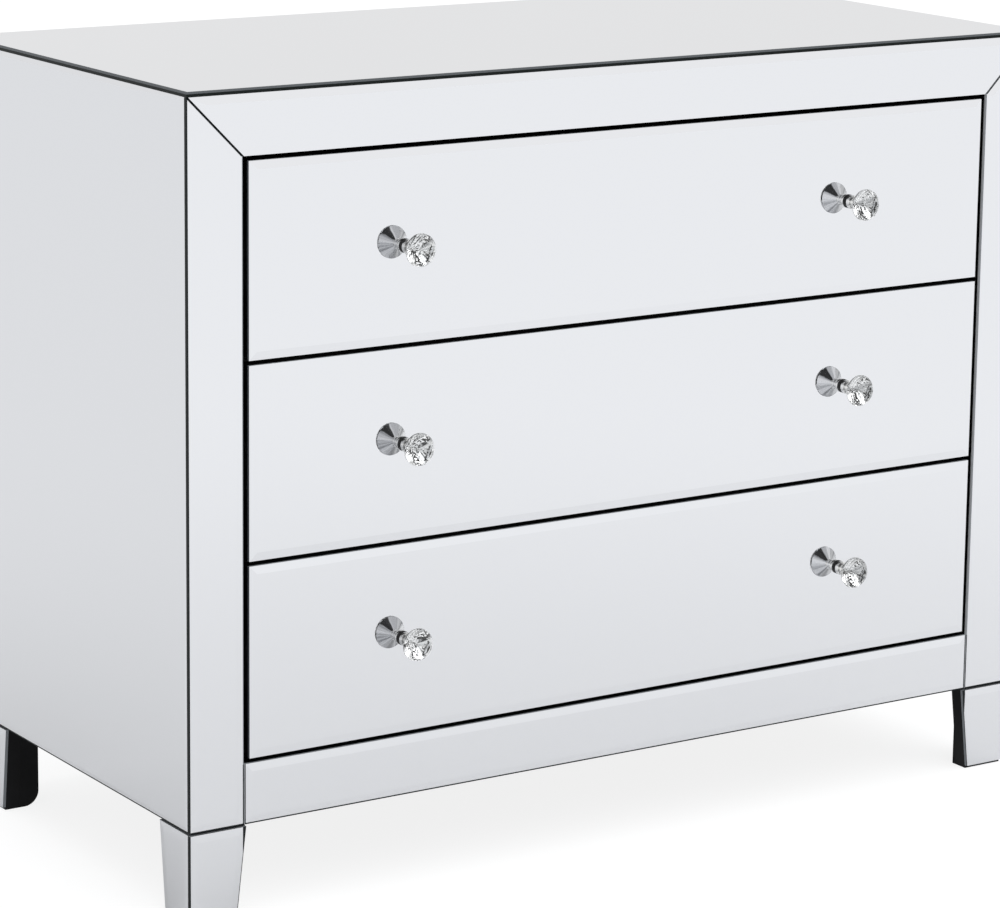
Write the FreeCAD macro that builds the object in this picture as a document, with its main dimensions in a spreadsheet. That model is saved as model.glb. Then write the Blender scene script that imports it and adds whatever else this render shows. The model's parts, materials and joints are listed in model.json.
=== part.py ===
import FreeCAD, Part

import math
import os
import re

import Sketcher

# A chest of three drawers: a black board carcass on four tapered legs, clad all over in bevelled
# mirror plates. Millimetres, +Z up, +X to the viewer's right, the drawers open towards -Y.
# The origin lies on the floor, under the middle of the whole chest with its knobs.

SIZES = {
    # the whole chest, over its mirror plates and without its knobs
    "width": 1000,
    "depth": 480,
    "height": 795,
    # mirror plates
    "glass_thickness": 4,
    "top_glass_thickness": 5,
    "top_glass_chamfer": 2,
    "bevel_width": 8,
    "bevel_depth": 0.8,
    "mirror_joint": 1.2,
    # boards
    "board_thickness": 15,
    "back_board_thickness": 5,
    # front frame
    "stile_width": 58.5,
    "top_rail_height": 58,
    "bottom_rail_height": 59.5,
    "divider_thickness": 15,
    "divider_depth": 60,
    "stop_gap": 0.5,
    # drawers
    "drawer_gap": 4.8,
    "jamb_gap": 6.5,
    "box_board_thickness": 12,
    "box_depth": 420,
    "box_height": 135,
    "box_lift": 20,
    "base_board_thickness": 5,
    "base_board_lift": 10,
    "groove_depth": 5,
    # telescopic runners
    "runner_height": 45,
    "runner_thickness": 12.7,
    "runner_length": 400,
    "runner_setback": 3,
    "runner_steel": 1.2,
    "runner_play": 0.6,
    "runner_lip_step": 1.6,
    # knobs, with heights measured from the foot
    "knob_spacing": 530,
    "washer_radius": 7,
    "washer_thickness": 2.5,
    "foot_radius": 7,
    "foot_height": 4,
    "neck_radius": 4.2,
    "bead_radius": 1.6,
    "cone_start": 14.5,
    "cone_start_radius": 5.2,
    "rim_height": 22.6,
    "rim_radius": 16,
    "cup_wall": 0.8,
    # crystal heads
    "girdle_height": 1.2,
    "crown_height": 8,
    "table_radius": 9,
    "star_radius": 12.8,
    "pavilion_break_radius": 6,
    "crystal_seat_gap": 0.15,
    # knob screws
    "screw_radius": 2,
    "screw_grip": 8,
    "screw_end_gap": 0.3,
    "screw_head_radius": 4,
    "screw_head_height": 2.6,
    "screw_hole_clearance": 0.3,
    "thread_clearance": 0.05,
    # legs
    "leg_height": 91,
    "leg_width": 61.5,
    "leg_foot_width": 51,
    "front_leg_block_depth": 25,
    "back_leg_block_width": 42,
    "back_leg_rounding": 16,
    "back_leg_inset": 24,
    "leg_mirror_gap": 2,
    "leg_mirror_lift": 3,
}

DRAWERS = ("lower", "middle", "upper")
KNOB_BEADS = 2
CRYSTAL_SIDES = 16

# Sizes that follow from the ones above, as formulas of them.
FOLLOWING = {
    "knob_projection": "washer_thickness + rim_height + girdle_height + crown_height",
    "front": "(knob_projection - depth) / 2",
    "back": "front + depth",
    "frame_front": "front + glass_thickness",
    "frame_back": "frame_front + board_thickness",
    "carcass_half": "width / 2 - glass_thickness",
    "lining_half": "width / 2 - stile_width",
    "carcass_top": "height - top_glass_thickness",
    "top_board_bottom": "carcass_top - board_thickness",
    "opening_top": "carcass_top - top_rail_height",
    "opening_bottom": "leg_height + bottom_rail_height",
    "drawer_pitch": f"(opening_top - opening_bottom - drawer_gap) / {len(DRAWERS)}",
    "front_half": "lining_half - jamb_gap",
    "front_height": "drawer_pitch - drawer_gap",
    "box_half": "lining_half - runner_thickness",
    "box_inner_half": "box_half - box_board_thickness",
    "box_back": "frame_back + box_depth",
    "cone_slope": "(rim_radius - cone_start_radius) / (rim_height - cone_start)",
    "cup_wall_across": "cup_wall * sqrt(1 + cone_slope ^ 2)",
    "cup_mouth_radius": "rim_radius - cup_wall_across",
    "cup_depth": "cup_mouth_radius / cone_slope",
    "leg_taper": "leg_width - leg_foot_width",
}

LEFT_KNOB_X = "-knob_spacing / 2"
BEVEL = ("bevel_width", "bevel_depth")

doc = FreeCAD.newDocument("mirrored_chest")
sheet = doc.addObject("Spreadsheet::Sheet", "sizes")
for row, (name, value) in enumerate(SIZES.items(), start=1):
    sheet.set(f"A{row}", name)
    sheet.set(f"B{row}", str(value))
    sheet.setAlias(f"B{row}", name)
doc.recompute()


def direction(x, y, z):
    return FreeCAD.Vector(x, y, z)


# Each facing turns a plate drawn flat, thickness upwards, so that its bevelled side looks that
# way and its second drawing axis points up.
FACING_FRONT = FreeCAD.Rotation(direction(1, 0, 0), 90)
FACING_LEFT = FreeCAD.Rotation(direction(0, -1, 0), direction(0, 0, 1), direction(-1, 0, 0), "ZXY")
FACING_RIGHT = FreeCAD.Rotation(direction(0, 1, 0), direction(0, 0, 1), direction(1, 0, 0), "ZXY")

nodes = []


def node(shape_object):
    """Marks an object as one of the chest's own sub-parts."""
    nodes.append(shape_object)
    return shape_object


def formula(text):
    """Writes named sizes, and sizes that follow from them, as a formula of the sheet's cells."""
    def spell(match):
        word = match.group(0)
        if word in FOLLOWING:
            return "(" + formula(FOLLOWING[word]) + ")"
        return "sizes." + word if word in SIZES else word

    return re.sub(r"[a-z_]+", spell, text)


def size(text):
    """The number that a formula of named sizes comes to."""
    return float(sheet.evalExpression(formula(text)))


def bind(target, **formulas):
    for name, text in formulas.items():
        target.setExpression(name, formula(text))


def place(target, corner, facing=None):
    """Puts an object's own origin at a corner given as three formulas."""
    if facing is not None:
        target.Placement = FreeCAD.Placement(direction(0, 0, 0), facing)
    for axis, text in zip("xyz", corner):
        target.setExpression("Placement.Base." + axis, formula(text))


# ---------------------------------------------------------------- ways to make a piece


def board(label, start, end):
    """A square-edged board between two opposite corners."""
    box = doc.addObject("Part::Box", label)
    spans = [f"({high}) - ({low})" for low, high in zip(start, end)]
    bind(box, Length=spans[0], Width=spans[1], Height=spans[2])
    place(box, start)
    return box


def rod(label, radius, length, start, facing):
    rod_object = doc.addObject("Part::Cylinder", label)
    bind(rod_object, Radius=radius, Height=length)
    place(rod_object, start, facing)
    return rod_object


def joined(label, pieces):
    fusion = doc.addObject("Part::MultiFuse", label)
    fusion.Shapes = pieces
    return fusion


def cut(label, base, tool):
    result = doc.addObject("Part::Cut", label)
    result.Base = base
    result.Tool = tool
    return result


def mirror_image(label, source):
    """The same piece on the other side of the chest's middle plane."""
    image = doc.addObject("Part::Mirroring", label)
    image.Source = source
    image.Normal = (1, 0, 0)
    return image


def pair(label, left):
    """One node of two equal pieces, left and right."""
    group = doc.addObject("Part::Compound", label)
    group.Links = [left, mirror_image(label + "_image", left)]
    return group


def pin_to_origin(sketch, geometry, point, corner):
    """Holds one point of a sketch at two formulas from the sketch's origin."""
    for kind, text in zip(("DistanceX", "DistanceY"), corner):
        constraint = Sketcher.Constraint(kind, -1, 1, geometry, point, size(text))
        index = sketch.addConstraint(constraint)
        sketch.setExpression(f"Constraints[{index}]", formula(text))


def draw_polygon(sketch, corners):
    points = [direction(size(across), size(up), 0) for across, up in corners]
    count = len(points)
    for i in range(count):
        sketch.addGeometry(Part.LineSegment(points[i], points[(i + 1) % count]))
    for i in range(count):
        sketch.addConstraint(Sketcher.Constraint("Coincident", i, 2, (i + 1) % count, 1))
    for i, corner in enumerate(corners):
        pin_to_origin(sketch, i, 1, corner)


def draw_circle(sketch, centre, radius):
    middle = direction(size(centre[0]), size(centre[1]), 0)
    circle = sketch.addGeometry(Part.Circle(middle, direction(0, 0, 1), size(radius)))
    pin_to_origin(sketch, circle, 3, centre)
    index = sketch.addConstraint(Sketcher.Constraint("Radius", circle, size(radius)))
    sketch.setExpression(f"Constraints[{index}]", formula(radius))


def straight_edges(shape, x=None, y=None, z=None):
    """Names of a shape's straight edges that lie wholly at the given x, y or z."""
    names = []
    for number, edge in enumerate(shape.Edges, start=1):
        level = all(
            wanted is None or abs(found - wanted) < FreeCAD.Base.Precision.confusion()
            for end in edge.Vertexes
            for found, wanted in zip(end.Point, (x, y, z))
        )
        if level and isinstance(edge.Curve, Part.Line):
            names.append(f"Edge{number}")
    return names


def plate(label, corners, thickness, start, facing, bevel=None, holes=(), hole_radius=None):
    """A flat plate of any straight-sided outline.

    bevel, if given, is the width and depth of the bevel round its front face."""
    body = doc.addObject("PartDesign::Body", label)
    sketch = body.newObject("Sketcher::SketchObject", label + "_outline")
    plane = next(item for item in body.Origin.OriginFeatures if item.Role == "XY_Plane")
    sketch.AttachmentSupport = (plane, "")
    sketch.MapMode = "FlatFace"
    draw_polygon(sketch, corners)
    for centre in holes:
        draw_circle(sketch, centre, hole_radius)
    pad = body.newObject("PartDesign::Pad", label + "_pad")
    pad.Profile = sketch
    bind(pad, Length=thickness)
    doc.recompute()
    if bevel is not None:
        chamfer = body.newObject("PartDesign::Chamfer", label + "_bevel")
        chamfer.Base = (pad, straight_edges(pad.Shape, z=size(thickness)))
        chamfer.ChamferType = "Two distances"
        bind(chamfer, Size=bevel[1], Size2=bevel[0])
    place(body, start, facing)
    return body


def rectangle(across, up):
    return [("0", "0"), (across, "0"), (across, up), ("0", up)]


# ---------------------------------------------------------------- carcass


def carcass_boards():
    sides = board(
        "side_board_left",
        ("-carcass_half", "frame_back", "leg_height"),
        ("-carcass_half + board_thickness", "back", "top_board_bottom"),
    )
    linings = board(
        "side_lining_left",
        ("-lining_half - board_thickness", "frame_back", "leg_height + board_thickness"),
        ("-lining_half", "back - back_board_thickness", "top_board_bottom"),
    )
    stile = board(
        "front_stile_left",
        ("-carcass_half", "frame_front", "leg_height"),
        ("-lining_half", "frame_back", "top_board_bottom"),
    )
    for left in (sides, linings, stile):
        node(left)
        node(mirror_image(left.Name.replace("_left", "_right"), left))

    node(board(
        "top_board",
        ("-carcass_half", "frame_front", "top_board_bottom"),
        ("carcass_half", "back", "carcass_top"),
    ))
    node(board(
        "bottom_board",
        ("-carcass_half + board_thickness", "frame_back", "leg_height"),
        ("carcass_half - board_thickness", "back - back_board_thickness", "leg_height + board_thickness"),
    ))
    node(board(
        "back_panel",
        ("-carcass_half + board_thickness", "back - back_board_thickness", "leg_height"),
        ("carcass_half - board_thickness", "back", "top_board_bottom"),
    ))
    node(board(
        "front_top_rail",
        ("-lining_half", "frame_front", "opening_top"),
        ("lining_half", "frame_back", "top_board_bottom"),
    ))
    node(board(
        "front_bottom_rail",
        ("-lining_half", "frame_front", "leg_height"),
        ("lining_half", "frame_back", "opening_bottom"),
    ))


def divider_rails():
    """Two rails behind the gaps between the drawer fronts, which stop against them."""
    rails = []
    for step in range(1, len(DRAWERS)):
        middle = f"opening_bottom + {step} * drawer_pitch + drawer_gap / 2"
        rails.append(board(
            f"divider_rail_{step}",
            ("-lining_half", "frame_back + stop_gap", f"{middle} - divider_thickness / 2"),
            ("lining_half", "frame_back + stop_gap + divider_depth", f"{middle} + divider_thickness / 2"),
        ))
    group = doc.addObject("Part::Compound", "divider_rails")
    group.Links = rails
    node(group)


def carcass_mirrors():
    node(plate(
        "top_mirror", rectangle("width", "depth"), "top_glass_thickness",
        ("-width / 2", "front", "carcass_top"), None, ("top_glass_chamfer", "top_glass_chamfer"),
    ))
    side = node(plate(
        "side_mirror_left", rectangle("depth - glass_thickness", "carcass_top - leg_height"),
        "glass_thickness", ("-carcass_half", "back", "leg_height"), FACING_LEFT,
    ))
    node(mirror_image("side_mirror_right", side))

    # The stile strips run the whole height and meet the top strip in a mitre.
    stile = node(plate(
        "stile_mirror_left",
        [
            ("0", "0"),
            ("stile_width", "0"),
            ("stile_width", "opening_top - leg_height"),
            ("0", "carcass_top - leg_height"),
        ],
        "glass_thickness", ("-width / 2", "frame_front", "leg_height"), FACING_FRONT, BEVEL,
    ))
    node(mirror_image("stile_mirror_right", stile))
    node(plate(
        "top_rail_mirror",
        [
            ("stile_width + mirror_joint", "0"),
            ("width - stile_width - mirror_joint", "0"),
            ("width - mirror_joint", "top_rail_height"),
            ("mirror_joint", "top_rail_height"),
        ],
        "glass_thickness", ("-width / 2", "frame_front", "opening_top"), FACING_FRONT, BEVEL,
    ))
    node(plate(
        "bottom_rail_mirror",
        rectangle("2 * (lining_half - mirror_joint)", "bottom_rail_height"),
        "glass_thickness", ("-lining_half + mirror_joint", "frame_front", "leg_height"),
        FACING_FRONT, BEVEL,
    ))


# ---------------------------------------------------------------- legs


def leg_outline(edge, low="0", high="leg_height", way=""):
    """A leg face between two heights: upright at edge and leaning in on its other side.

    edge is how far the face's upright side lies inside the leg's own corner."""
    def lean(height):
        return f"{way}(leg_foot_width + leg_taper * ({height}) / leg_height)"

    return [(edge, low), (lean(low), low), (lean(high), high), (edge, high)]


def front_leg():
    """Two tapered boards glued round a block, with a mirror on its front and on its outer side."""
    label = "leg_front_left"
    outer = "-width / 2"
    front_board = plate(
        label + "_front_board", leg_outline("glass_thickness"), "board_thickness",
        (outer, "frame_back", "0"), FACING_FRONT,
    )
    side_board = plate(
        label + "_side_board", leg_outline("glass_thickness"), "board_thickness",
        ("-carcass_half", "front", "0"), FACING_RIGHT,
    )
    block = board(
        label + "_block",
        ("-carcass_half", "frame_front", "0"),
        (f"{outer} + leg_foot_width", "front + front_leg_block_depth", "leg_height"),
    )
    leg = joined(label, [front_board, side_board, block])
    node(leg)
    node(mirror_image("leg_front_right", leg))

    low = "leg_mirror_lift"
    high = "leg_height - leg_mirror_gap"
    front_mirror = plate(
        label + "_front_mirror", leg_outline("0", low, high), "glass_thickness",
        (outer, "frame_front", "0"), FACING_FRONT, BEVEL,
    )
    side_mirror = plate(
        label + "_side_mirror", leg_outline("-glass_thickness", low, high, way="-"), "glass_thickness",
        ("-carcass_half", "front", "0"), FACING_LEFT, BEVEL,
    )
    mirrors = doc.addObject("Part::Compound", "leg_mirrors_front_left")
    mirrors.Links = [front_mirror, side_mirror]
    node(mirrors)
    node(mirror_image("leg_mirrors_front_right", mirrors))


def back_leg():
    """A tapered board glued to a block, with a mirror on its outer side alone.

    The block is rounded under on its inner side."""
    label = "leg_back_left"
    heel = "back - back_leg_inset"
    side_board = plate(
        label + "_side_board", leg_outline("0"), "board_thickness",
        ("-carcass_half + board_thickness", heel, "0"), FACING_LEFT,
    )
    block_width = "back_leg_block_width - glass_thickness"
    block = plate(
        label + "_block", rectangle(block_width, "leg_height"), "leg_foot_width",
        ("-carcass_half", heel, "0"), FACING_FRONT,
    )
    squared = block.Tip
    rounding = block.newObject("PartDesign::Fillet", label + "_rounding")
    rounding.Base = (squared, straight_edges(squared.Shape, x=size(block_width), y=0))
    bind(rounding, Radius="back_leg_rounding")
    leg = joined(label, [side_board, block])
    node(leg)
    node(mirror_image("leg_back_right", leg))
    side_mirror = plate(
        label + "_side_mirror", leg_outline("0", "leg_mirror_lift", "leg_height - leg_mirror_gap"),
        "glass_thickness", ("-carcass_half", heel, "0"), FACING_LEFT, BEVEL,
    )
    node(pair("leg_mirrors_back", side_mirror))


# ---------------------------------------------------------------- drawers


def drawer_bottom(index):
    return f"(opening_bottom + drawer_gap + {index} * drawer_pitch)"


def box_bottom(index):
    return f"({drawer_bottom(index)} + box_lift)"


def knob_height(index):
    return f"({drawer_bottom(index)} + front_height / 2)"


def drawer_front(name, index):
    """The drawer's front board and the mirror glued on it, both drilled for the knob screws."""
    low = drawer_bottom(index)
    blank = board(
        f"drawer_front_{name}_blank",
        ("-front_half", "frame_front", low), ("front_half", "frame_back", f"{low} + front_height"),
    )
    drill = rod(
        f"drawer_front_{name}_hole", "screw_radius + screw_hole_clearance", "board_thickness",
        (LEFT_KNOB_X, "frame_back", knob_height(index)), FACING_FRONT,
    )
    node(cut(f"drawer_front_{name}", blank, pair(f"drawer_front_{name}_holes", drill)))

    knob_line = "front_height / 2"
    node(plate(
        f"drawer_mirror_{name}", rectangle("2 * front_half", "front_height"), "glass_thickness",
        ("-front_half", "frame_front", low), FACING_FRONT, BEVEL,
        holes=[("front_half - knob_spacing / 2", knob_line), ("front_half + knob_spacing / 2", knob_line)],
        hole_radius="screw_radius + screw_hole_clearance",
    ))


def drawer_box(name, index):
    """Two grooved sides, a back between them and a base board that slides in the grooves."""
    low = box_bottom(index)
    high = f"{low} + box_height"
    inside_back = "box_back - box_board_thickness"
    side = board(
        f"drawer_sides_{name}_left",
        ("-box_half", "frame_back", low), ("-box_inner_half", "box_back", high),
    )
    base_start = ("-box_inner_half - groove_depth", "frame_back", f"{low} + base_board_lift")
    base_end = (
        "box_inner_half + groove_depth", inside_back, f"{low} + base_board_lift + base_board_thickness",
    )
    groove = board(f"drawer_sides_{name}_groove", base_start, base_end)
    node(cut(f"drawer_sides_{name}", pair(f"drawer_sides_{name}_blanks", side), groove))
    node(board(f"drawer_bottom_{name}", base_start, base_end))
    node(board(
        f"drawer_back_{name}",
        ("-box_inner_half", inside_back, low), ("box_inner_half", "box_back", high),
    ))


def channel(label, index, near, far, half_height, web_on_far_side=False):
    """A folded steel channel of the left runner. near and far are distances from the lining."""
    middle = f"({box_bottom(index)} + box_height / 2)"
    start_y = "frame_back + runner_setback"
    end_y = f"{start_y} + runner_length"
    outside = board(
        label + "_outside",
        (f"-lining_half + {near}", start_y, f"{middle} - ({half_height})"),
        (f"-lining_half + {far}", end_y, f"{middle} + ({half_height})"),
    )
    hollow_near, hollow_far = f"{near} + runner_steel", far
    if web_on_far_side:
        hollow_near, hollow_far = near, f"{far} - runner_steel"
    hollow = board(
        label + "_hollow",
        (f"-lining_half + {hollow_near}", start_y, f"{middle} - ({half_height} - runner_steel)"),
        (f"-lining_half + {hollow_far}", end_y, f"{middle} + ({half_height} - runner_steel)"),
    )
    return cut(label + "_left", outside, hollow)


def runner(name, index):
    """The three nested members of a drawer's runners; the cabinet members are returned."""
    wrap = "runner_steel + runner_play"
    cabinet = channel(
        f"cabinet_runners_{name}", index, "0", "runner_thickness - 2 * runner_lip_step",
        "runner_height / 2",
    )
    middle = channel(
        f"middle_runners_{name}", index, wrap, "runner_thickness - runner_lip_step",
        f"runner_height / 2 - ({wrap})",
    )
    drawer = channel(
        f"drawer_runners_{name}", index, f"2 * ({wrap})", "runner_thickness",
        f"runner_height / 2 - 2 * ({wrap})", web_on_far_side=True,
    )
    node(pair(f"middle_runners_{name}", middle))
    node(pair(f"drawer_runners_{name}", drawer))
    return [cabinet, mirror_image(f"cabinet_runners_{name}_right", cabinet)]


# ---------------------------------------------------------------- knobs


def knob_base(name, index):
    """A turned base: a foot, a beaded neck and a cone that opens to a cup for the crystal."""
    label = f"knob_bases_{name}"
    height = knob_height(index)

    def along(distance):
        """A point on the knob's axis, at a distance in front of its foot."""
        return (LEFT_KNOB_X, f"front - washer_thickness - ({distance})", height)

    foot = rod(label + "_foot", "foot_radius", "foot_height", along("0"), FACING_FRONT)
    neck = rod(label + "_neck", "neck_radius", "cone_start", along("0"), FACING_FRONT)
    beads = []
    for number in range(1, KNOB_BEADS + 1):
        share = f"{number} / {KNOB_BEADS + 1}"
        bead = doc.addObject("Part::Torus", f"{label}_bead_{number}")
        bind(bead, Radius1="neck_radius", Radius2="bead_radius")
        place(bead, along(f"foot_height + {share} * (cone_start - foot_height)"), FACING_FRONT)
        beads.append(bead)
    cone = doc.addObject("Part::Cone", label + "_cone")
    bind(cone, Radius1="cone_start_radius", Radius2="rim_radius", Height="rim_height - cone_start")
    place(cone, along("cone_start"), FACING_FRONT)
    cup = doc.addObject("Part::Cone", label + "_cup")
    bind(cup, Radius1="0", Radius2="cup_mouth_radius", Height="cup_depth")
    place(cup, along("rim_height - cup_depth"), FACING_FRONT)
    thread = rod(
        label + "_thread", "screw_radius + thread_clearance", "screw_grip + screw_end_gap",
        along("0"), FACING_FRONT,
    )
    solid = joined(label + "_turned", [foot, neck, cone] + beads)
    base = cut(label + "_left", solid, joined(label + "_hollows", [cup, thread]))
    node(pair(label, base))

    washer_start = (LEFT_KNOB_X, "front", height)
    disc = rod(f"knob_washers_{name}_disc", "washer_radius", "washer_thickness", washer_start, FACING_FRONT)
    bore = rod(
        f"knob_washers_{name}_bore", "screw_radius + screw_hole_clearance", "washer_thickness",
        washer_start, FACING_FRONT,
    )
    node(pair(f"knob_washers_{name}", cut(f"knob_washers_{name}_left", disc, bore)))


def knob_screw(name, index):
    """A pan-headed screw through the drawer front, mirror and washer into the knob's foot."""
    label = f"knob_screws_{name}"
    head_start = (LEFT_KNOB_X, "frame_back + screw_head_height", knob_height(index))
    head = rod(label + "_head", "screw_head_radius", "screw_head_height", head_start, FACING_FRONT)
    shank_length = "board_thickness + glass_thickness + washer_thickness + screw_grip"
    shank = rod(
        label + "_shank", "screw_radius", shank_length,
        (LEFT_KNOB_X, "frame_back", knob_height(index)), FACING_FRONT,
    )
    node(pair(label, joined(label + "_left", [head, shank])))


def ring(radius, height, steps):
    """Points on a circle round the crystal's axis, keyed by how many sides round they lie."""
    turn = 2 * math.pi / CRYSTAL_SIDES
    return {k: direction(radius * math.cos(k * turn), radius * math.sin(k * turn), height) for k in steps}


def kites_and_halves(tips, breaks, edge):
    """Facets of one side of a brilliant, between its tips, its break points and its edge.

    tips holds the table's corners, or the point of the pavilion for each of the eight mains."""
    facets = []
    for k in tips:
        left, right = breaks[(k - 1) % CRYSTAL_SIDES], breaks[k + 1]
        facets.append([tips[k], left, edge[k], right])
        facets.append([right, edge[k], edge[k + 1]])
        facets.append([right, edge[k + 1], edge[(k + 2) % CRYSTAL_SIDES]])
    return facets


def brilliant():
    """A round crystal: table, stars, kites and halves over a girdle, and a faceted pavilion.

    Its axis is +Z and its girdle stands on the plane of the cup's rim."""
    every = range(CRYSTAL_SIDES)
    mains, halves = every[::2], every[1::2]
    lean = math.cos(2 * math.pi / CRYSTAL_SIDES)
    rim, table = size("rim_radius"), size("table_radius")
    girdle, crown = size("girdle_height"), size("crown_height")
    star, split = size("star_radius"), size("pavilion_break_radius")
    # The pavilion's facets meet in corners that stand this far out of its mean cone.
    corner_stand = split * (1 - lean)
    seat = size("cup_mouth_radius - crystal_seat_gap") - corner_stand
    depth = seat / size("cone_slope")
    star_height = girdle + crown * (rim - star * lean) / (rim - table)
    split_height = -depth * (1 - split * lean / seat)

    low_girdle, high_girdle = ring(rim, 0, every), ring(rim, girdle, every)
    table_corners = ring(table, girdle + crown, mains)
    stars = ring(star, star_height, halves)
    seat_edge = ring(seat, 0, every)
    point = direction(0, 0, -depth)

    facets = [[table_corners[k] for k in mains]]
    facets += [[table_corners[k], stars[k + 1], table_corners[(k + 2) % CRYSTAL_SIDES]] for k in mains]
    facets += kites_and_halves(table_corners, stars, high_girdle)
    facets += kites_and_halves({k: point for k in mains}, ring(split, split_height, halves), seat_edge)
    for k in every:
        after = (k + 1) % CRYSTAL_SIDES
        facets.append([low_girdle[k], low_girdle[after], high_girdle[after], high_girdle[k]])
        facets.append([seat_edge[k], seat_edge[after], low_girdle[after], low_girdle[k]])
    faces = [Part.Face(Part.makePolygon(facet + facet[:1])) for facet in facets]
    shell = Part.makeShell(faces)
    shell.sewShape()
    stone = Part.makeSolid(shell)
    if stone.Volume < 0:
        stone.reverse()
    return stone


def knob_crystals(name, index, stone):
    """The two crystals of a drawer, girdles on the rims of their cups."""
    stones = []
    for side in (-1, 1):
        copy = stone.copy()
        rim = "front - washer_thickness - rim_height"
        seat = direction(side * size("knob_spacing / 2"), size(rim), size(knob_height(index)))
        copy.Placement = FreeCAD.Placement(seat, FACING_FRONT)
        stones.append(copy)
    feature = doc.addObject("Part::Feature", f"knob_crystals_{name}")
    feature.Shape = Part.makeCompound(stones)
    feature.Placement = FreeCAD.Placement()
    node(feature)


# ---------------------------------------------------------------- the whole chest

carcass_boards()
divider_rails()
carcass_mirrors()
front_leg()
back_leg()

crystal = brilliant()
cabinet_members = []
for number, drawer_name in enumerate(DRAWERS):
    drawer_front(drawer_name, number)
    drawer_box(drawer_name, number)
    cabinet_members += runner(drawer_name, number)
    knob_base(drawer_name, number)
    knob_screw(drawer_name, number)
    knob_crystals(drawer_name, number, crystal)
cabinet_runners = doc.addObject("Part::Compound", "cabinet_runners")
cabinet_runners.Links = cabinet_members
node(cabinet_runners)

doc.recompute()
for item in doc.Objects:
    if "Invalid" in item.State or "Error" in item.State:
        raise RuntimeError(f"{item.Name} did not compute: {item.State}")

os.makedirs("parts", exist_ok=True)
for item in nodes:
    if item.Shape.isNull() or not item.Shape.isValid():
        raise RuntimeError(f"{item.Label} has no valid shape")
for item in nodes:
    item.Shape.exportStep(f"parts/{item.Label}.step")
    print(f"{item.Label}: {len(item.Shape.Solids)} solid(s), {item.Shape.Volume:.0f} mm3")
print(f"{len(nodes)} sub-parts")
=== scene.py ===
import json
import math

import bpy
from mathutils import Matrix, Vector


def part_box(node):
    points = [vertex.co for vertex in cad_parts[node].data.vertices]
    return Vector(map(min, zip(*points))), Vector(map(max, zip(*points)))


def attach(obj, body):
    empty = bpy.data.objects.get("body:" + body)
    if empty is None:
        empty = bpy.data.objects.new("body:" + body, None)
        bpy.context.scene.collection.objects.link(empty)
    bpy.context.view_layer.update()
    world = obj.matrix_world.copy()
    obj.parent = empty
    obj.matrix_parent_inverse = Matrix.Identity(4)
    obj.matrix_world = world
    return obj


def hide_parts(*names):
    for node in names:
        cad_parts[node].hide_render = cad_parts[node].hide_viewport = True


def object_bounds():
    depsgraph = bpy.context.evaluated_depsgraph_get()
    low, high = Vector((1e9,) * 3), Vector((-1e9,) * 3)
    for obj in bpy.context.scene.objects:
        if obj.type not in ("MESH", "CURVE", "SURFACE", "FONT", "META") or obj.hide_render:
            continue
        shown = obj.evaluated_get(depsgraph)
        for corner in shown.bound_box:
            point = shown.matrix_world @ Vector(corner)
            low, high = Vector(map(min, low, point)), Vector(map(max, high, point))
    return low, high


# A chest of three drawers, clad all over in silvered mirror glass over black lacquered boards,
# with cut crystal knobs. Everything is in metres, on the frame's own axes: x runs along the
# front, y from the viewer to the back, z up.

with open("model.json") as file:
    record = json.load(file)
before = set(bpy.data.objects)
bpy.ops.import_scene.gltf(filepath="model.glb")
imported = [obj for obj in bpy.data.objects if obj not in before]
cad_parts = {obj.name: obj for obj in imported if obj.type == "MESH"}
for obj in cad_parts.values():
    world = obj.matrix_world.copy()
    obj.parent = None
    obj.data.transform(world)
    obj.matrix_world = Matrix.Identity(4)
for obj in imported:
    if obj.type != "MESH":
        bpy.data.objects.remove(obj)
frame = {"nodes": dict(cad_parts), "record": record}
cad_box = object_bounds()

MM = 0.001
DRAWERS = ("upper", "middle", "lower")
SIDES = (("left", -1), ("right", 1))
TOWARDS_VIEWER = Vector((0, -1, 0))
TOWARDS_BACK = Vector((0, 1, 0))
WASHER_RADIUS = 7 * MM

cad = frame["nodes"]
# How far out the side plates reach, and the plane in which the front's plates lie on its boards.
rim = cad_box[1].x
board_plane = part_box("drawer_mirror_upper")[1].y
# How far out and how high the upper drawer's knobs sit, and from one drawer's knobs to the next's.
washer_low, washer_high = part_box("knob_washers_upper")
knob_out = washer_high.x - WASHER_RADIUS
knob_height = (washer_low.z + washer_high.z) / 2
drawer_pitch = washer_low.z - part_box("knob_washers_middle")[0].z


# ---------------------------------------------------------------- ways to make a finish


def colour(hex_code):
    """An sRGB hex colour as the linear colour that a shader takes."""
    channels = [int(hex_code[i:i + 2], 16) / 255 for i in (1, 3, 5)]
    linear = [c / 12.92 if c <= 0.04045 else ((c + 0.055) / 1.055) ** 2.4 for c in channels]
    return (*linear, 1.0)


def add(tree, kind, sockets=None, **settings):
    """Adds a node with its settings, and sets its sockets or links them: a socket that is given a
    whole node takes that node's first open output."""
    made = tree.nodes.new("ShaderNode" + kind)
    for name, value in settings.items():
        setattr(made, name, value)
    for key, value in (sockets or {}).items():
        if isinstance(value, bpy.types.Node):
            value = next(output for output in value.outputs if output.enabled)
        if isinstance(value, bpy.types.NodeSocket):
            tree.links.new(value, made.inputs[key])
        else:
            made.inputs[key].default_value = value
    return made


def finish_of(name, **constants):
    """A new material, its tree, and its principled shader, with the shader's constants set."""
    material = bpy.data.materials.new(name)
    material.use_nodes = True
    tree = material.node_tree
    shader = tree.nodes["Principled BSDF"]
    for socket, value in constants.items():
        shader.inputs[socket.replace("_", " ")].default_value = value
    return material, tree, shader


# ---------------------------------------------------------------- mirror glass

SILVER = "#EFF0F3"
SILVER_ROUGHNESS = 0.015
SILVER_GLOSS = 0.08
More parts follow.
